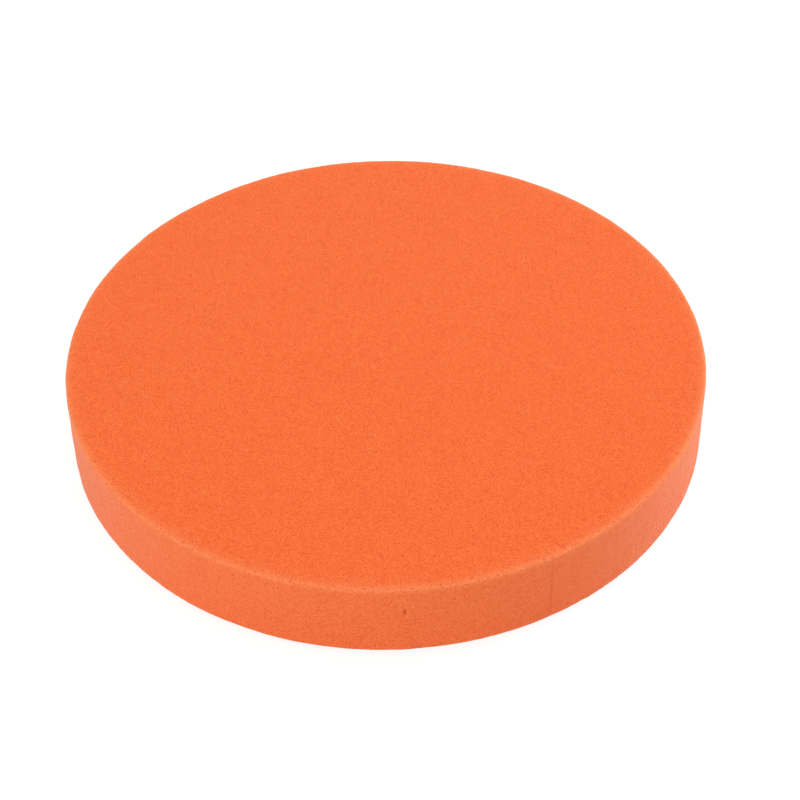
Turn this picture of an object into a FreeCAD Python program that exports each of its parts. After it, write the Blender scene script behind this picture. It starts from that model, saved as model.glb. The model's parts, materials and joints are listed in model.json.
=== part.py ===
import FreeCAD, Part
import Sketcher
import os

# A hook-and-loop foam polishing pad, 180 mm across, lying with its working face up.
#
# The pad is a bonded laminate of four round layers on one axis. From the top down they are the
# open-cell foam disc, the hot-melt film that glues it, the knitted ground cloth and the loop
# pile.
#
# Frame: +Z is up, out of the working face. The origin is the centre of the pad's lowest face, on
# the tips of the loops. All sizes are in millimetres.

DRIVING_SIZES = [
    ("pad_diameter", 180.0),  # across the foam, which is a 7 inch pad in the trade
    ("foam_thickness", 23.6),
    ("face_edge_radius", 1.0),  # where the die rolls the foam over at the working face
    ("back_edge_radius", 0.8),  # the sharper edge at the glued face
    ("backing_inset", 1.5),  # how far the backing stays in from the foam's side
    ("film_thickness", 0.2),
    ("cloth_thickness", 0.4),
    ("pile_height", 0.8),
    ("pile_level", 0.0),  # the loop tips stand on the frame's zero height
]

# The heights at which the layers meet, from the loop tips up, and the backing's one radius.
WORKED_OUT_SIZES = [
    ("foam_radius", "=pad_diameter / 2"),
    ("backing_radius", "=foam_radius - backing_inset"),
    ("cloth_level", "=pile_level + pile_height"),
    ("film_level", "=cloth_level + cloth_thickness"),
    ("foam_level", "=film_level + film_thickness"),
]

SHEET_NAME = "Sizes"
LEVEL_TOLERANCE = 1e-4  # mm, for telling which rim of a disc is which
CENTRE_POINT = 3  # how a sketch's constraints name the centre of a circle
SKETCH_ORIGIN = (-1, 1)  # and how they name the sketch's own origin
START_RADIUS = 10.0  # mm, of each circle as drawn, before its constraint sizes it


def add_size_sheet(doc):
    """Put the driving sizes and the sizes worked out from them in a sheet with named cells."""
    sheet = doc.addObject("Spreadsheet::Sheet", SHEET_NAME)
    for row, (name, value) in enumerate(DRIVING_SIZES + WORKED_OUT_SIZES, start=1):
        sheet.set(f"A{row}", name)
        sheet.set(f"B{row}", str(value))
        sheet.setAlias(f"B{row}", name)
    doc.recompute()
    return sheet


def origin_plane(body, role):
    """The body's own origin plane with this role, such as XY_Plane."""
    return next(item for item in body.Origin.OriginFeatures if item.Role == role)


def add_round_layer(doc, name, radius_cell, level_cell, thickness_cell):
    """A round layer on the pad's axis: a circle at its level, padded up to its thickness."""
    body = doc.addObject("PartDesign::Body", name)
    body.Label = name
    outline = body.newObject("Sketcher::SketchObject", f"{name}_outline")
    outline.AttachmentSupport = [(origin_plane(body, "XY_Plane"), "")]
    outline.MapMode = "FlatFace"
    outline.setExpression("AttachmentOffset.Base.z", f"{SHEET_NAME}.{level_cell}")

    circle = Part.Circle(FreeCAD.Vector(0, 0, 0), FreeCAD.Vector(0, 0, 1), START_RADIUS)
    edge = outline.addGeometry(circle)
    outline.addConstraint(Sketcher.Constraint("Coincident", edge, CENTRE_POINT, *SKETCH_ORIGIN))
    size = outline.addConstraint(Sketcher.Constraint("Radius", edge, START_RADIUS))
    outline.renameConstraint(size, "layer_radius")
    outline.setExpression("Constraints.layer_radius", f"{SHEET_NAME}.{radius_cell}")

    layer = body.newObject("PartDesign::Pad", f"{name}_thickness")
    layer.Profile = outline
    layer.setExpression("Length", f"{SHEET_NAME}.{thickness_cell}")
    doc.recompute()
    return body


def round_an_edge(doc, body, feature_name, level, radius_cell):
    """Round the one circular edge of the body that lies at this height."""
    base = body.Tip
    names = [
        f"Edge{number}"
        for number, edge in enumerate(base.Shape.Edges, start=1)
        if abs(edge.BoundBox.ZMin - level) < LEVEL_TOLERANCE
        and abs(edge.BoundBox.ZMax - level) < LEVEL_TOLERANCE
    ]
    if len(names) != 1:
        raise ValueError(f"{feature_name}: {len(names)} edges lie at {level} mm, not 1")
    rounding = body.newObject("PartDesign::Fillet", feature_name)
    rounding.Base = (base, names)
    rounding.setExpression("Radius", f"{SHEET_NAME}.{radius_cell}")
    doc.recompute()
    return rounding


def add_foam_disc(doc, sheet):
    """The open-cell foam, die-cut from a slab, with both of its rims rounded over."""
    body = add_round_layer(doc, "foam_disc", "foam_radius", "foam_level", "foam_thickness")
    face_level = sheet.foam_level + sheet.foam_thickness
    round_an_edge(doc, body, "face_edge", face_level, "face_edge_radius")
    round_an_edge(doc, body, "back_edge", sheet.foam_level, "back_edge_radius")
    return body


def add_adhesive_film(doc):
    """The hot-melt film that joins the cloth to the foam."""
    return add_round_layer(doc, "adhesive_film", "backing_radius", "film_level", "film_thickness")


def add_backing_cloth(doc):
    """The knitted ground cloth that the loops stand on."""
    return add_round_layer(
        doc, "backing_cloth", "backing_radius", "cloth_level", "cloth_thickness"
    )


def add_loop_pile(doc):
    """The space that the standing loops fill, from their tips at zero height to the cloth."""
    return add_round_layer(doc, "loop_pile", "backing_radius", "pile_level", "pile_height")


def check_document(doc):
    """Stop if any object of the document failed to recompute."""
    for item in doc.Objects:
        if "Invalid" in item.State or "Error" in item.State:
            raise RuntimeError(f"{item.Name} is in state {item.State}")


def check_layer(body):
    """Stop unless the layer is one sound solid."""
    shape = body.Shape
    if shape.isNull() or not shape.isValid() or len(shape.Solids) != 1:
        raise RuntimeError(f"{body.Label} isn't one valid solid")


def write_layers(bodies):
    """Write each layer to parts/ under its own name."""
    os.makedirs("parts", exist_ok=True)
    for body in bodies:
        body.Shape.exportStep(os.path.join("parts", f"{body.Label}.step"))


def main():
    doc = FreeCAD.newDocument("polishing_pad")
    sheet = add_size_sheet(doc)
    bodies = [
        add_foam_disc(doc, sheet),
        add_adhesive_film(doc),
        add_backing_cloth(doc),
        add_loop_pile(doc),
    ]
    doc.recompute()
    check_document(doc)
    for body in bodies:
        check_layer(body)
        box = body.Shape.optimalBoundingBox()
        print(f"{body.Label}: {box.XLength:.2f} mm across, {box.ZMin:.2f} to {box.ZMax:.2f} mm up")
    write_layers(bodies)


main()
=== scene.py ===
# %% [markdown]
# # A foam polishing pad
#
# The real thing is a disc of orange open-cell foam with a loop cloth glued to its back. It has
# four layers, and the frame that is loaded here holds one plain solid for each. The lesson makes
# the foam, the glue, the cloth and its loops one after another, each where its plain solid is.
# All lengths are in metres, so small ones are written as millimetres times MM.

# %% Load the frame
import json
import math
import random

import bpy
from mathutils import Matrix, Vector
from mathutils.kdtree import KDTree

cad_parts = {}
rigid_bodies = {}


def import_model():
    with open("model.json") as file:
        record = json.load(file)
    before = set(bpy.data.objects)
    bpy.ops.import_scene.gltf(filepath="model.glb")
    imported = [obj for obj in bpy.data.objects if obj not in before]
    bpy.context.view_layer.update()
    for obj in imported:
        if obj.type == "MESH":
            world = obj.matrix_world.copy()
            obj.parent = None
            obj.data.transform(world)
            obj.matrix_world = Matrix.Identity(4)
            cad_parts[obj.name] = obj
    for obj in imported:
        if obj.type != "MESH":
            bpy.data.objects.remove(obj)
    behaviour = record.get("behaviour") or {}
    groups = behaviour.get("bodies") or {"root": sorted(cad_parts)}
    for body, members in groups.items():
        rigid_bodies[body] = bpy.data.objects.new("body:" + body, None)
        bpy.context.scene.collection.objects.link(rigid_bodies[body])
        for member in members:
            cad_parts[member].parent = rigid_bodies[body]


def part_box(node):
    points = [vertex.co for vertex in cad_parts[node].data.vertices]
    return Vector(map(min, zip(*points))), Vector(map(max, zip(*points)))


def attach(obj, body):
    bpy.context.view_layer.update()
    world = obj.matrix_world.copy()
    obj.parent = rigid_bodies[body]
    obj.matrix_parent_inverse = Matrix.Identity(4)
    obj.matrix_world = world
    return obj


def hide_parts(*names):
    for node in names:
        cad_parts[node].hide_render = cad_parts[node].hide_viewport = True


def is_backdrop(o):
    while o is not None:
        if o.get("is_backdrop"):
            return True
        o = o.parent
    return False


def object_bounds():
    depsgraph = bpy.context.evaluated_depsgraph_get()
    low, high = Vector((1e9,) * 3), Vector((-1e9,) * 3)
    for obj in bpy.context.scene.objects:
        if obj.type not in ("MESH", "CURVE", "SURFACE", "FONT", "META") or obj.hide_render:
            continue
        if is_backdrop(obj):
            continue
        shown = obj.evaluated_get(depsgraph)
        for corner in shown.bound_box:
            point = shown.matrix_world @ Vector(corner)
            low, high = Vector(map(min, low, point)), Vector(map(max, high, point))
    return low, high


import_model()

MM = 0.001
cad_box = [list(corner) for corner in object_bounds()]
foam_low, foam_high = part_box("foam_disc")
film_low, film_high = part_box("adhesive_film")
cloth_low, cloth_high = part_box("backing_cloth")
pile_low, pile_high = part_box("loop_pile")
FOAM_RADIUS = foam_high.x
BACKING_RADIUS = round(film_high.x / MM, 1) * MM
heights = f"{foam_low.z / MM:.1f} to {foam_high.z / MM:.1f}"
print(f"foam {2 * FOAM_RADIUS / MM:.1f} mm across, {heights} mm up")


# %% [markdown]
# ## Working as by hand
#
# An operator acts on whatever is selected, and the loaded nodes come in selected. So a new
# piece starts with nothing selected, and faces or edges are picked afterwards by where they lie.
# A modifier can stay live or be applied. Here each is applied at once, because the next step
# picks from the mesh that it leaves.

# %% Helpers for modelling
def deselect_all():
    bpy.ops.object.select_all(action="DESELECT")


def finish_primitive(name):
    """Name the primitive that was just added and move its place into its mesh."""
    piece = bpy.context.active_object
    piece.name = name
    bpy.ops.object.transform_apply(location=True, rotation=True, scale=True)
    return piece


def add_disc(name, radius, low, high, corners):
    """A cylinder on the pad's axis, as a start."""
    deselect_all()
    bpy.ops.mesh.primitive_cylinder_add(
        vertices=corners,
        radius=radius,
        depth=high - low,
        location=(0, 0, (low + high) / 2),
    )
    return finish_primitive(name)


def pick(piece, domain, wanted):
    """Go into edit mode with only the wanted vertices, edges or faces selected."""
    bpy.context.view_layer.objects.active = piece
    mesh = piece.data
    for group in (mesh.vertices, mesh.edges, mesh.polygons):
        group.foreach_set("select", [False] * len(group))
    parts = {"VERT": mesh.vertices, "EDGE": mesh.edges, "FACE": mesh.polygons}[domain]
    parts.foreach_set("select", [bool(wanted(part)) for part in parts])
    bpy.ops.object.mode_set(mode="EDIT")
    bpy.ops.mesh.select_mode(type=domain)


def leave_edit():
    bpy.ops.object.mode_set(mode="OBJECT")


def apply_modifier(piece, kind, **settings):
    """Add a modifier with these settings and apply it."""
    modifier = piece.modifiers.new(kind.lower(), kind)
    for name, value in settings.items():
        setattr(modifier, name, value)
    deselect_all()
    piece.select_set(True)
    bpy.context.view_layer.objects.active = piece
    bpy.ops.object.modifier_apply(modifier=modifier.name)


def shade_smooth(piece):
    deselect_all()
    piece.select_set(True)
    bpy.context.view_layer.objects.active = piece
    bpy.ops.object.shade_smooth()


def triangles(piece):
    return sum(len(face.vertices) - 2 for face in piece.data.polygons)


def hand_over(piece, node, material):
    """Put the piece in its node's place, with its own material."""
    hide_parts(node)
    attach(piece, "root")
    piece.data.materials.clear()
    piece.data.materials.append(material)
    print(f"{piece.name}: {triangles(piece)} triangles")


# %% [markdown]
# ## Working with shader nodes
#
# Each material reads Object coordinates, which are the pad's own metres, so a cell that is half
# a millimetre wide is written as such, and the pattern goes round an edge without a seam. An
# unwrapped texture could do it too, but would stretch at the rim.

# %% Helpers for materials
def new_material(name):
    """A material, its node tree and its Principled shader."""
    material = bpy.data.materials.new(name)
    material.use_nodes = True
    return material, material.node_tree, material.node_tree.nodes["Principled BSDF"]


def add_node(tree, kind, links=None, **settings):
    """A node with its settings, and its inputs linked or set by name or number."""
    node = tree.nodes.new(kind)
    for name, value in settings.items():
        setattr(node, name, value)
    for key, value in (links or {}).items():
        if isinstance(value, bpy.types.NodeSocket):
            tree.links.new(value, node.inputs[key])
        else:
            node.inputs[key].default_value = value
    return node


def object_place(tree):
    """The socket of a point's Object coordinates."""
    return add_node(tree, "ShaderNodeTexCoord").outputs["Object"]


def math_node(tree, operation, first, second=0.0, clamp=False):
    node = add_node(
        tree, "ShaderNodeMath", {0: first, 1: second}, operation=operation, use_clamp=clamp
    )
    return node.outputs[0]


def ramp_up(tree, value, low, high, to_low=0.0, to_high=1.0):
    """A smooth step of value from to_low at low to to_high at high."""
    node = add_node(
        tree,
        "ShaderNodeMapRange",
        {"Value": value, "From Min": low, "From Max": high, "To Min": to_low, "To Max": to_high},
        interpolation_type="SMOOTHSTEP",
    )
    return node.outputs["Result"]


def mix_colour(tree, share, first, second):
    """A colour from first to second as share goes from 0 to 1."""
    node = add_node(tree, "ShaderNodeMix", data_type="RGBA")
    factor, first_colour, second_colour = 0, 6, 7  # which of its inputs are the colour ones
    for key, value in ((factor, share), (first_colour, first), (second_colour, second)):
        if isinstance(value, bpy.types.NodeSocket):
            tree.links.new(value, node.inputs[key])
        else:
            node.inputs[key].default_value = value
    return node.outputs[2]


def noise(tree, place, grain, detail=2.0, roughness=0.5):
    """Cloudy noise from 0 to 1, with lumps about one grain wide."""
    node = add_node(
        tree,
        "ShaderNodeTexNoise",
        {"Vector": place, "Scale": 1 / grain, "Detail": detail, "Roughness": roughness},
    )
    return node.outputs["Fac"]


def cells(tree, place, width, feature):
    """A Voronoi node whose cells are about this wide."""
    return add_node(
        tree, "ShaderNodeTexVoronoi", {"Vector": place, "Scale": 1 / width}, feature=feature
    )


def add_bump(tree, shader, height, strength, depth):
    """Shade the surface as if height, from 0 to 1, stood this deep in it."""
    bump = add_node(
        tree, "ShaderNodeBump", {"Height": height, "Strength": strength, "Distance": depth}
    )
    tree.links.new(bump.outputs[0], shader.inputs["Normal"])


# %% [markdown]
# ## The foam's material
#
# Open-cell polyurethane foam is a mesh of thin struts round bubbles that are under half a
# millimetre wide. From a hand's distance it reads as an even, matte orange with a fine grain of
# dark pores. Light goes a few millimetres into it, so its rims, which light enters from two
# sides, look paler and more yellow than its face. At a flat angle the broken struts catch the
# light as a pale bloom.
#
# A scan of real foam would give all that. Here a net of Voronoi cells gives the struts and the
# pores between them, with a painted highlight on the struts and painted shade in the pores,
# noise makes some patches coarser, a mix by distance from the rim paints the paler edge into
# the colour as painted glow and highlight, with painted sheen down the side, subsurface
# scattering gives the depth, and sheen gives the bloom.

# %% How pale the foam is, with painted light at its rim and side
FOAM_ORANGE = (0.74, 0.095, 0.010, 1)
# painted light: the paler colour at the rim stands in for light through the thin edge and the fuzz
# catching it
FOAM_PAINTED_RIM_LIGHT = (0.80, 0.28, 0.115, 1)
FACE_EDGE = 1.0 * MM  # how far round the rim of the face is rolled
RIM_PAINTED_LIGHT = 0.85  # how much painted rim light, the paler colour, there is right at the rim
RIM_REACH_IN = 1.0 * MM  # how far in over the face that fades to a third
RIM_REACH_DOWN = 1.1 * MM  # and down the side
SIDE_PAINTED_SHEEN = (0.15, 0.06)  # and how much painted sheen the side has at its top and at its foot, less at the foot as painted shade


def painted_rim_and_side_light(tree, place):
    """How much painted light a point has: glow and highlight by how far it is from the rim of the
    face, and sheen down the side.
    """
    split = add_node(tree, "ShaderNodeSeparateXYZ", {0: place})
    across = add_node(tree, "ShaderNodeCombineXYZ", {0: split.outputs[0], 1: split.outputs[1]})
    radius = add_node(tree, "ShaderNodeVectorMath", {0: across.outputs[0]}, operation="LENGTH")
    inwards = math_node(tree, "SUBTRACT", FOAM_RADIUS, radius.outputs["Value"])
    down = math_node(tree, "SUBTRACT", foam_high.z, split.outputs[2])
    from_rim = math_node(
        tree,
        "MAXIMUM",
        math_node(tree, "DIVIDE", inwards, RIM_REACH_IN),
        math_node(tree, "DIVIDE", down, RIM_REACH_DOWN),
    )
    faded = math_node(tree, "EXPONENT", math_node(tree, "MULTIPLY", from_rim, -1.0))
    rim = math_node(tree, "MULTIPLY", faded, RIM_PAINTED_LIGHT)
    on_side = ramp_up(tree, inwards, 0.0, FACE_EDGE, 1.0, 0.0)
    # painted sheen on the side, fading toward the foot as painted shade
    side_sheen = ramp_up(tree, down, 0.0, foam_high.z - foam_low.z, *SIDE_PAINTED_SHEEN)
    return math_node(tree, "MAXIMUM", rim, math_node(tree, "MULTIPLY", on_side, side_sheen))


print(f"foam orange {FOAM_ORANGE[:3]}, at its rim up to {RIM_PAINTED_LIGHT:.0%} of {FOAM_PAINTED_RIM_LIGHT[:3]}")


# %% The foam's cells
# painted shade in the pores and pressed marks; the same colour is also the foam's darker tone in
# random patches and grit
FOAM_DARK_TONE_AND_SHADE = (0.60, 0.043, 0.002, 1)
# painted highlight: the struts paler where they catch the light
FOAM_STRUT_HIGHLIGHT = (0.85, 0.25, 0.083, 1)
CELL = 0.5 * MM
STRUT_WIDTH = 0.3  # of a cell


def foam_cells(tree, place):
    """The net of struts, whose paler colour is a painted highlight, and the pores that are open by
    chance, darkened as painted shade, each from 0 to 1.
    """
    net = cells(tree, place, CELL, "DISTANCE_TO_EDGE").outputs["Distance"]
    strut = ramp_up(tree, net, 0.0, STRUT_WIDTH, 1.0, 0.0)
    colour_each = cells(tree, place, CELL, "F1").outputs["Color"]
    chance = add_node(tree, "ShaderNodeSeparateColor", {0: colour_each}).outputs[0]
    mostly_shallow = math_node(tree, "POWER", chance, 2.0)
    opening = math_node(tree, "SUBTRACT", 1.0, strut)
    return strut, math_node(tree, "MULTIPLY", opening, mostly_shallow)


print(f"{FOAM_RADIUS * 2 / CELL:.0f} cells across the pad")


# %% Foam material
GRIT = 0.8 * MM  # the larger grain that neighbouring cells make together
PATCH = 2.2 * MM  # and the slow changes of colour, as the foam was blown
FRAY = 0.16 * MM  # the broken ends of the struts
RELIEF_DEPTH = 0.15 * MM


def foam_material():
    """Orange foam: its colour in layers, then its relief, roughness, depth and bloom."""
    material, tree, shader = new_material("orange_foam")
    place = object_place(tree)
    strut, pore = foam_cells(tree, place)
    grit = ramp_up(tree, noise(tree, place, GRIT, detail=3.0, roughness=0.7), 0.3, 0.7)
    patch = ramp_up(tree, noise(tree, place, PATCH, detail=4.0), 0.25, 0.75)
    # painted shade: the pressed pits and the knife's line darkened by their depth
    painted_mark_shade = add_node(tree, "ShaderNodeAttribute", attribute_name="painted_mark_shade").outputs["Fac"]

    colour = FOAM_ORANGE
    for share, most, other in (
        (patch, 0.14, FOAM_DARK_TONE_AND_SHADE),
        (grit, 0.3, FOAM_DARK_TONE_AND_SHADE),
        # painted light: glow and highlight at the rim, sheen down the side
        (painted_rim_and_side_light(tree, place), 1.0, FOAM_PAINTED_RIM_LIGHT),
        # painted highlight on the struts
        (strut, 0.42, FOAM_STRUT_HIGHLIGHT),
        # painted shade in the open pores
        (pore, 0.65, FOAM_DARK_TONE_AND_SHADE),
        # painted shade in the pressed pits and the knife's line
        (painted_mark_shade, 1.0, FOAM_DARK_TONE_AND_SHADE),
    ):
        colour = mix_colour(tree, math_node(tree, "MULTIPLY", share, most), colour, other)
    tree.links.new(colour, shader.inputs["Base Color"])

    height = strut
    for layer, amount in ((noise(tree, place, FRAY), 0.5), (pore, -1.5), (grit, -1.0)):
        height = math_node(tree, "ADD", height, math_node(tree, "MULTIPLY", layer, amount))
    add_bump(tree, shader, height, 0.4, RELIEF_DEPTH)

    tree.links.new(ramp_up(tree, strut, 0.0, 1.0, 0.95, 0.8), shader.inputs["Roughness"])
    shader.inputs["Specular IOR Level"].default_value = 0.2
    shader.inputs["Subsurface Weight"].default_value = 0.2
    shader.inputs["Subsurface Radius"].default_value = (1.0, 0.35, 0.15)
    shader.inputs["Subsurface Scale"].default_value = 2.0 * MM
    shader.inputs["Sheen Weight"].default_value = 0.33
    shader.inputs["Sheen Roughness"].default_value = 0.27
    shader.inputs["Sheen Tint"].default_value = (1.0, 0.92, 0.85, 1)
    print(f"{material.name}: {len(tree.nodes)} nodes")
    return material


# %% [markdown]
# ## The foam disc
#
# The disc is stamped out of a slab with a round knife, which drags the rim over a little as it
# presses in. So it is a cylinder with a rolled rim, and no edge of it is perfectly true. It
# could be a cylinder with bump alone, but then its outline would be as sharp as metal. Instead
# the cylinder gets its two rounded rims with bevels, a voxel remesh gives it an even skin of
# half-millimetre faces, and procedural textures push that skin in and out.

# %% Foam: a cylinder with rolled rims and an even skin
BACK_EDGE = 0.8 * MM
RIM_CORNERS = 384
RIM_STEPS = 6  # faces round each rolled rim
SKIN = 0.5 * MM  # the remesh's voxel
GRIP = 0.01 * MM  # how near a vertex has to be to count as on a level


def round_rim(piece, level, size):
    """Bevel the edges that lie at this height."""
    verts = piece.data.vertices
    pick(piece, "EDGE", lambda e: all(abs(verts[v].co.z - level) < GRIP for v in e.vertices))
    bpy.ops.mesh.bevel(offset=size, segments=RIM_STEPS, profile=0.5, affect="EDGES")
    leave_edit()


foam = add_disc("foam", FOAM_RADIUS, foam_low.z, foam_high.z, RIM_CORNERS)
round_rim(foam, foam_high.z, FACE_EDGE)
round_rim(foam, foam_low.z, BACK_EDGE)
apply_modifier(foam, "REMESH", mode="VOXEL", voxel_size=SKIN, use_smooth_shade=True)
print(f"foam skin: {len(foam.data.polygons)} faces")


# %% [markdown]
# ## Uneven as cut
#
# A Displace modifier moves each vertex along its normal by a texture's brightness. Four layers
# of it are used, from large to small: the slab's own unevenness, the wander of the knife, the
# pull of the cells, and the struts. The glued back stays flat, so a vertex group keeps the
# textures off it. Sculpting by hand would do as well, but couldn't be run again with other sizes.

# %% Foam: relief
RELIEF = [  # name, texture, grain and depth
    ("slab", "CLOUDS", 22 * MM, 0.30 * MM),
    ("knife", "CLOUDS", 6 * MM, 0.22 * MM),
    ("pull", "CLOUDS", 1.6 * MM, 0.08 * MM),
    ("struts", "VORONOI", 0.9 * MM, 0.05 * MM),
]


def is_glued(point):
    return point.z < foam_low.z + GRIP * 5 and point.xy.length < BACKING_RADIUS


free = foam.vertex_groups.new(name="free")
free.add([v.index for v in foam.data.vertices if not is_glued(v.co)], 1.0, "REPLACE")
for name, kind, grain, depth in RELIEF:
    texture = bpy.data.textures.new(name, kind)
    texture.noise_scale = grain
    apply_modifier(
        foam,
        "DISPLACE",
        texture=texture,
        texture_coords="LOCAL",
        strength=depth,
        vertex_group="free",
    )
foam.vertex_groups.clear()
print(f"foam: {foam.dimensions.x / MM:.2f} by {foam.dimensions.y / MM:.2f} mm after the relief")


# %% [markdown]
# ## The knife's mark and the open pits
#
# Where the knife's joint ran down the side it left one faint upright line, and here and there a
# bubble that burst while the foam was blown leaves a pit. Each is pressed into the skin by
# moving the vertices near it, deepest in the middle, as a sculpting brush would, and painted
# shade darkens it by how deep it is pressed.

# %% Foam: how a mark is pressed in
FALL_OFF = 2.5  # how fast a mark fades out from its middle
LINE_REACH = 4  # how many of its widths a line is followed out to
FULL_SHADE = 0.7 * MM  # how deep a mark is whose painted shade is full


def out_from_axis(turn, radius, height):
    """The point at this angle round the axis, in degrees, and its direction outwards."""
    angle = math.radians(turn)
    out = Vector((math.cos(angle), math.sin(angle), 0))
    return out * radius + Vector((0, 0, height)), out


def press(vert, out, depth, shade):
    """Push one vertex into the foam, and keep the deepest painted shade it has had."""
    vert.co -= out * depth
    shade[vert.index].value = max(shade[vert.index].value, depth / FULL_SHADE)


# %% Foam: open pits
PIT_COUNT = 180
PITS_ON_FACE = 0.62  # of all
PIT_WIDTHS = (0.3 * MM, 0.6 * MM)
PIT_DEPTH = 0.55  # of its width
SIDE_PIT = dict(turn=-87.3, height=16.4 * MM, width=0.45 * MM, length=3.4 * MM, depth=0.6 * MM)


def random_pit():
    """A pit on the face or the side: its centre, the way out, half-width, half-length, depth."""
    width = random.uniform(*PIT_WIDTHS)
    turn = random.uniform(0, 360)
    if random.random() < PITS_ON_FACE:
        radius = (FOAM_RADIUS - FACE_EDGE) * math.sqrt(random.random())
        centre, _ = out_from_axis(turn, radius, foam_high.z)
        out = Vector((0, 0, 1))
    else:
        height = random.uniform(foam_low.z + BACK_EDGE, foam_high.z - FACE_EDGE)
        centre, out = out_from_axis(turn, FOAM_RADIUS, height)
    return centre, out, width, width, PIT_DEPTH * width


def side_pit(turn, height, width, length, depth):
    """One long pit that was torn open on the side, upright."""
    centre, out = out_from_axis(turn, FOAM_RADIUS, height)
    return centre, out, width, length / 2, depth


def press_pits(piece, pits, shade):
    """Push the skin in at each pit, most at its centre."""
    verts = piece.data.vertices
    nearby = KDTree(len(verts))
    for vert in verts:
        nearby.insert(vert.co, vert.index)
    nearby.balance()
    for centre, out, width, length, depth in pits:
        for _, index, _ in nearby.find_range(centre, max(width, length)):
            offset = verts[index].co - centre
            across = offset if out.z else Vector((offset.x, offset.y, 0))
            along = 0 if out.z else offset.z
            away = (across / width).length_squared + (along / length) ** 2
            press(verts[index], out, depth * math.exp(-FALL_OFF * away), shade)


random.seed(7)
pits = [random_pit() for _ in range(PIT_COUNT)] + [side_pit(**SIDE_PIT)]
# painted shade for each vertex, written as the marks are pressed
painted_mark_shade = foam.data.attributes.new("painted_mark_shade", "FLOAT", "POINT").data
press_pits(foam, pits, painted_mark_shade)
print(f"{len(pits)} pits, the deepest {max(pit[-1] for pit in pits) / MM:.2f} mm")


# %% Foam: the knife's line
KNIFE_LINE = dict(turn=-62.0, low=4.5 * MM, width=0.45 * MM, depth=0.16 * MM)


def press_line(piece, shade, turn, low, width, depth):
    """Push the skin in along an upright line on the side."""
    foot, out = out_from_axis(turn, FOAM_RADIUS, low)
    for vert in piece.data.vertices:
        offset = vert.co - foot
        if offset.xy.length < LINE_REACH * width and offset.z > 0:
            sideways = (offset.xy - out.xy * offset.xy.dot(out.xy)).length
            press(vert, out, depth * math.exp(-FALL_OFF * (sideways / width) ** 2), shade)


press_line(foam, painted_mark_shade, **KNIFE_LINE)
pick(foam, "FACE", lambda f: f.normal.z < -0.99 and is_glued(f.center))
bpy.ops.mesh.dissolve_faces()
leave_edit()
shade_smooth(foam)
hand_over(foam, "foam_disc", foam_material())


# %% [markdown]
# ## The glue
#
# The cloth is glued on with a thin sheet of hot-melt film. Only its edge shows, as a slightly
# glossy line where some of it was squeezed out. A flat ring would do from far off; here it is a
# thin disc whose edge wanders in and out.

# %% Glue film
FILM_AMBER = (0.72, 0.60, 0.40, 1)
FILM_PALE = (0.86, 0.78, 0.62, 1)
FILM_CORNERS = 900
SQUEEZE = 0.25 * MM
SQUEEZE_GRAIN = 2.5 * MM


def film_material():
    material, tree, shader = new_material("laminating_film")
    cloud = noise(tree, object_place(tree), 2 * MM, detail=4.0)
    tree.links.new(mix_colour(tree, cloud, FILM_AMBER, FILM_PALE), shader.inputs["Base Color"])
    tree.links.new(ramp_up(tree, cloud, 0.2, 0.8, 0.25, 0.5), shader.inputs["Roughness"])
    add_bump(tree, shader, cloud, 0.5, 0.1 * MM)
    shader.inputs["Coat Weight"].default_value = 0.2
    return material


glue = add_disc("glue_film", BACKING_RADIUS, film_low.z, film_high.z, FILM_CORNERS)
for axis in ("X", "Y"):
    wander = bpy.data.textures.new(f"squeeze_{axis}", "CLOUDS")
    wander.noise_scale = SQUEEZE_GRAIN
    apply_modifier(
        glue, "DISPLACE", texture=wander, texture_coords="LOCAL", direction=axis, strength=SQUEEZE
    )
hand_over(glue, "adhesive_film", film_material())


# %% [markdown]
# ## The ground cloth
#
# The loops stand on a thin knitted cloth with fine ribs, one under each row of loops. It is cut
# as a plain round and glued flat, with no fold. It is made as the real one is: a square of
# ribbed cloth, cut with a round cutter by a Boolean.

# %% Ground cloth's material
CLOTH_WHITE = (0.76, 0.75, 0.72, 1)
CLOTH_SHADE = (0.48, 0.47, 0.45, 1)
ROW = 1.6 * MM  # from one row of loops to the next
WAVE_BAND = 0.314  # how wide a Wave texture's band is at a scale of 1


def cloth_material():
    material, tree, shader = new_material("ground_cloth")
    place = object_place(tree)
    stitch = 1.0
    for direction in ("X", "Y"):
        wave = add_node(
            tree,
            "ShaderNodeTexWave",
            {"Vector": place, "Scale": WAVE_BAND / (ROW / 2), "Distortion": 1.2, "Detail": 1.0},
            bands_direction=direction,
        )
        stitch = math_node(tree, "MULTIPLY", stitch, wave.outputs["Fac"])
    tree.links.new(mix_colour(tree, stitch, CLOTH_SHADE, CLOTH_WHITE), shader.inputs["Base Color"])
    add_bump(tree, shader, stitch, 0.6, 0.2 * MM)
    shader.inputs["Roughness"].default_value = 0.9
    shader.inputs["Sheen Weight"].default_value = 0.3
    return material


print(f"{2 * BACKING_RADIUS / ROW:.0f} ribs across the cloth")


# %% Ground cloth
RIB = 0.06 * MM  # how far a rib stands out
FACES_PER_RIB = 4
FACES_ALONG = 60
CUT_MARGIN = 3 * MM  # how much wider than the round the square of cloth is
CUT_CORNERS = 720
CLOTH_THICKNESS = cloth_high.z - cloth_low.z


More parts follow.
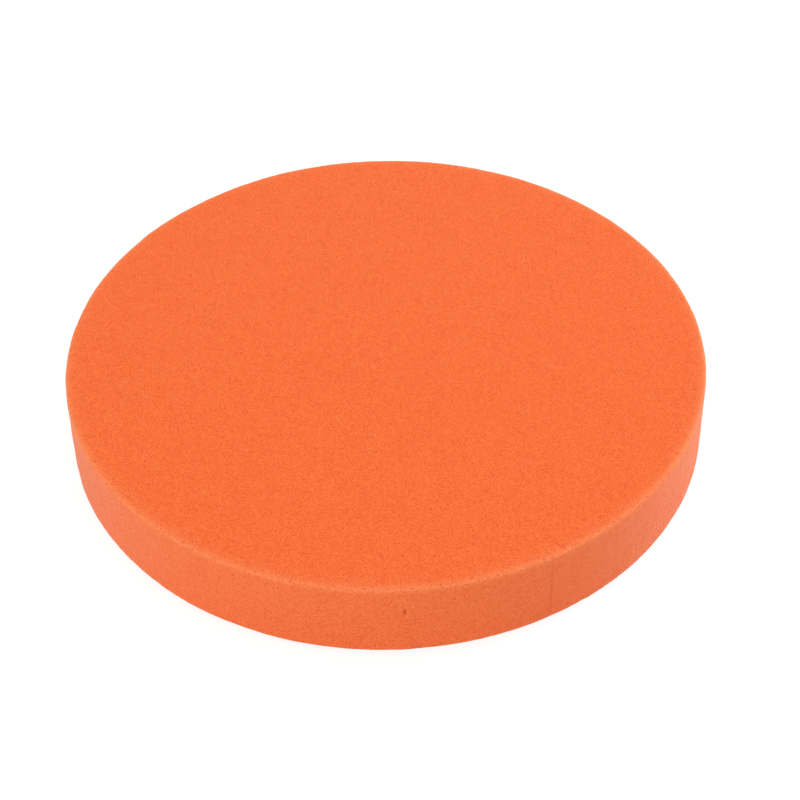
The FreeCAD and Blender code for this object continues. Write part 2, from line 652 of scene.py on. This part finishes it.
def add_square_cloth(side):
    """A square of cloth, a grid drawn up to its thickness, with ribs raised on its lower face."""
    deselect_all()
    bpy.ops.mesh.primitive_grid_add(
        x_subdivisions=round(side / ROW * FACES_PER_RIB),
        y_subdivisions=FACES_ALONG,
        size=side,
        location=(0, 0, cloth_low.z),
    )
    square = finish_primitive("ground_cloth")
    pick(square, "FACE", lambda f: True)
    bpy.ops.mesh.extrude_region_move(TRANSFORM_OT_translate={"value": (0, 0, CLOTH_THICKNESS)})
    bpy.ops.mesh.select_all(action="SELECT")
    bpy.ops.mesh.normals_make_consistent(inside=False)
    leave_edit()
    for vert in square.data.vertices:
        if vert.co.z < cloth_low.z + CLOTH_THICKNESS / 2:
            vert.co.z += RIB * (1 - math.cos(math.tau * vert.co.x / ROW)) / 2
    return square


def cut_round(piece, radius):
    """Keep what is inside a round cutter on the pad's axis."""
    low, high = cloth_low.z - CUT_MARGIN, cloth_high.z + CUT_MARGIN
    cutter = add_disc("cutter", radius, low, high, CUT_CORNERS)
    apply_modifier(piece, "BOOLEAN", operation="INTERSECT", solver="EXACT", object=cutter)
    bpy.data.objects.remove(cutter)


cloth = add_square_cloth(2 * (BACKING_RADIUS + CUT_MARGIN))
cut_round(cloth, BACKING_RADIUS)
hand_over(cloth, "backing_cloth", cloth_material())


# %% [markdown]
# ## The loops
#
# The polisher's hooks catch in thousands of small loops of soft white yarn. A hair system could
# make them, but it wouldn't leave a mesh. Here one loop is half of a thin ring, which is copied
# along a row and then row by row with two Array modifiers. Each copy is then turned, leaned and
# shortened a little by chance, because no two loops of brushed cloth stand alike.

# %% Yarn
YARN_WHITE = (0.84, 0.83, 0.80, 1)
YARN_SHADE = (0.62, 0.61, 0.58, 1)
YARN_RADIUS = 0.085 * MM


def yarn_material():
    material, tree, shader = new_material("loop_yarn")
    place = object_place(tree)
    strands = noise(tree, place, YARN_RADIUS * 0.6)
    cloud = noise(tree, place, 5 * MM)
    share = math_node(tree, "ADD", math_node(tree, "MULTIPLY", strands, 0.7), cloud, clamp=True)
    tree.links.new(mix_colour(tree, share, YARN_SHADE, YARN_WHITE), shader.inputs["Base Color"])
    add_bump(tree, shader, strands, 0.5, YARN_RADIUS / 4)
    shader.inputs["Roughness"].default_value = 0.7
    shader.inputs["Subsurface Weight"].default_value = 0.2
    shader.inputs["Subsurface Radius"].default_value = (1.0, 0.9, 0.8)
    shader.inputs["Subsurface Scale"].default_value = 0.3 * MM
    shader.inputs["Sheen Weight"].default_value = 0.4
    return material


print(f"yarn {2 * YARN_RADIUS / MM:.2f} mm thick")


# %% One loop
LOOP_HALF_WIDTH = 0.5 * MM
ROOT = 0.12 * MM  # how deep a loop's feet go into the cloth
LOOP_HEIGHT = pile_high.z - pile_low.z + ROOT


def add_one_loop():
    """Half of a thin ring, hanging from zero height, closed at its two feet."""
    deselect_all()
    bpy.ops.mesh.primitive_torus_add(
        major_radius=LOOP_HALF_WIDTH - YARN_RADIUS,
        minor_radius=YARN_RADIUS,
        major_segments=10,
        minor_segments=4,
        rotation=(math.pi / 2, 0, 0),
    )
    loop = finish_primitive("loops")
    pick(loop, "FACE", lambda f: True)
    bpy.ops.mesh.bisect(plane_co=(0, 0, 0), plane_no=(0, 0, 1), clear_outer=True, use_fill=True)
    bpy.ops.mesh.select_all(action="SELECT")
    stretch = LOOP_HEIGHT / LOOP_HALF_WIDTH
    bpy.ops.transform.resize(value=(1, 1, stretch), center_override=(0, 0, 0))
    leave_edit()
    return loop


loops = add_one_loop()
corners_each = len(loops.data.vertices)
print(f"one loop has {corners_each} corners and {triangles(loops)} triangles")


# %% Rows of loops
STEP = 1.4 * MM  # from one loop to the next along its row


def fill_with_loops(loop):
    """Copy the loop over a square as wide as the backing, and return how many copies."""
    counts = [math.ceil(2 * BACKING_RADIUS / pitch) for pitch in (ROW, STEP)]
    for offset, count in zip(((ROW, 0, 0), (0, STEP, 0)), counts):
        apply_modifier(
            loop,
            "ARRAY",
            count=count,
            use_relative_offset=False,
            use_constant_offset=True,
            constant_offset_displace=offset,
        )
    return counts[0] * counts[1]


copies = fill_with_loops(loops)
print(f"{copies} loops in a square")


# %% Brushed loops
TURN = (25, 28)  # degrees round the upright, the middle and the spread
LEAN = (0, 16)  # degrees
STRAY = 0.12 * MM
WIDTH_SHARE = (0.8, 1.15)
HEIGHT_SHARE = (0.78, 1.0)


def brush(corners):
    """Turn, lean, shorten and shift one loop by chance, and return how far out it now stands."""
    foot = sum((corner.co for corner in corners), Vector()) / len(corners)
    foot.z = 0
    turn = Matrix.Rotation(math.radians(random.gauss(*TURN)), 4, "Z")
    lean = Matrix.Rotation(math.radians(random.gauss(*LEAN)), 4, "X")
    size = Matrix.Diagonal((random.uniform(*WIDTH_SHARE), 1, random.uniform(*HEIGHT_SHARE), 1))
    shift = Vector((random.gauss(0, STRAY), random.gauss(0, STRAY), cloth_low.z + ROOT))
    centre = foot + shift - Vector((BACKING_RADIUS, BACKING_RADIUS, 0))
    for corner in corners:
        corner.co = turn @ lean @ size @ (corner.co - foot) + centre
        corner.co.z = max(corner.co.z, pile_low.z)
    return centre.xy.length


random.seed(11)
outside = set()
for start in range(0, copies * corners_each, corners_each):
    corners = loops.data.vertices[start:start + corners_each]
    if brush(corners) > BACKING_RADIUS - LOOP_HALF_WIDTH:
        outside.update(corner.index for corner in corners)
pick(loops, "VERT", lambda v: v.index in outside)
bpy.ops.mesh.delete(type="VERT")
leave_edit()
loops_left = len(loops.data.vertices) // corners_each
print(f"{loops_left} loops stay on the round")


# %% Loops in three pieces
LOOP_PIECES = 3  # so that none has too many faces


def split_off(piece, first, name):
    """Separate the vertices from this one on into a piece of their own."""
    before = set(bpy.data.objects)
    deselect_all()
    pick(piece, "VERT", lambda v: v.index >= first)
    bpy.ops.mesh.separate(type="SELECTED")
    leave_edit()
    new = (set(bpy.data.objects) - before).pop()
    new.name = name
    return new


loop_pieces = [loops]
for number in range(1, LOOP_PIECES):
    first = loops_left * (LOOP_PIECES - number) // LOOP_PIECES * corners_each
    loop_pieces.append(split_off(loops, first, f"loops_{number}"))
yarn = yarn_material()
for piece in loop_pieces:
    shade_smooth(piece)
    hand_over(piece, "loop_pile", yarn)


# %% [markdown]
# ## The floor
#
# The pad lies on a plain white sheet, as for a catalogue. The sheet gives off some light of its
# own, like a light table, which keeps the shadow under the pad faint. A very bright lamp could
# whiten the sheet too, but would bleach the foam.

# %% Floor
FLOOR_SIDE = 6.0
FLOOR_GREY = (0.25, 0.25, 0.25, 1)
FLOOR_GLOW = 0.80


def sheet_material():
    material, _, shader = new_material("white_sheet")
    shader.inputs["Base Color"].default_value = FLOOR_GREY
    shader.inputs["Roughness"].default_value = 1.0
    shader.inputs["Specular IOR Level"].default_value = 0.0
    shader.inputs["Emission Color"].default_value = (1, 1, 1, 1)
    shader.inputs["Emission Strength"].default_value = FLOOR_GLOW
    return material


deselect_all()
bpy.ops.mesh.primitive_plane_add(size=FLOOR_SIDE, location=(0, 0, pile_low.z))
floor = finish_primitive("floor")
floor.data.materials.append(sheet_material())
floor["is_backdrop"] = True
print(f"floor at {pile_low.z / MM:.1f} mm")


# %% [markdown]
# ## The light
#
# A white room lights matte foam evenly but leaves it flat. Three large softboxes shape it: one
# overhead for the face, a warm one from the front for the side, and one from behind that makes
# the far rim glow. Small lamps would do this too, but with hard shadows.

# %% Light
ROOM = 0.885
SOFTBOXES = [  # name, place, side, power and colour
    ("overhead", (0, 0, 1.2), 1.0, 4.0, (1, 1, 1)),
    ("key", (-0.85, -0.85, 0.3), 0.6, 4.2, (1.0, 0.92, 0.78)),
    ("edge", (0.95, 0.5, 0.33), 0.6, 7.5, (1, 1, 1)),
]


def add_softbox(name, place, side, power, colour):
    """A square softbox that faces the pad."""
    data = bpy.data.lights.new(name, "AREA")
    data.color = colour
    data.shape = "SQUARE"
    data.size = side
    data.energy = power
    light = bpy.data.objects.new(name, data)
    light.location = place
    light.rotation_euler = (-Vector(place)).to_track_quat("-Z", "Y").to_euler()
    bpy.context.scene.collection.objects.link(light)
    print(f"{name}: {power} W, {light.location.length:.2f} m away")


def add_room(strength):
    """Even white light from every side."""
    world = bpy.data.worlds.new("studio")
    world.use_nodes = True
    background = world.node_tree.nodes["Background"]
    background.inputs["Color"].default_value = (1, 1, 1, 1)
    background.inputs["Strength"].default_value = strength
    bpy.context.scene.world = world


add_room(ROOM)
for softbox in SOFTBOXES:
    add_softbox(*softbox)
bpy.context.scene.view_settings.view_transform = "Standard"


# %% [markdown]
# ## The camera
#
# The camera looks down at the pad at about forty-five degrees, so that the face and the side
# both show. It stands about three pad widths off with a long lens, because a wide lens from close
# up would make the near rim look too big.

# %% Camera
CAMERA_DISTANCE = 0.58
CAMERA_RISE = math.radians(43.25)  # above the horizon
CAMERA_ROLL = math.radians(-0.87)
CAMERA_LENS = 94.8
AIM = Vector((3.85 * MM, -20.2 * MM, foam_high.z))

back = Vector((0, -math.cos(CAMERA_RISE), math.sin(CAMERA_RISE)))
facing = (-back).to_track_quat("-Z", "Y").to_matrix()
camera_data = bpy.data.cameras.new("camera")
camera_data.lens = CAMERA_LENS
camera = bpy.data.objects.new("camera", camera_data)
camera.location = AIM + back * CAMERA_DISTANCE
camera.rotation_euler = (facing @ Matrix.Rotation(CAMERA_ROLL, 3, "Z")).to_euler()
bpy.context.scene.collection.objects.link(camera)
bpy.context.scene.camera = camera
print(f"camera {camera.location.length:.2f} m from the pad's foot")


# %% [markdown]
# ## The size
#
# The looks stand a little proud of the plain solids, so both boxes are worked out and printed.

# %% Size
visual_box = [list(corner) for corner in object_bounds()]
for name, box in (("plain solids", cad_box), ("looks", visual_box)):
    print(name, [[round(value / MM, 2) for value in corner] for corner in box], "mm")
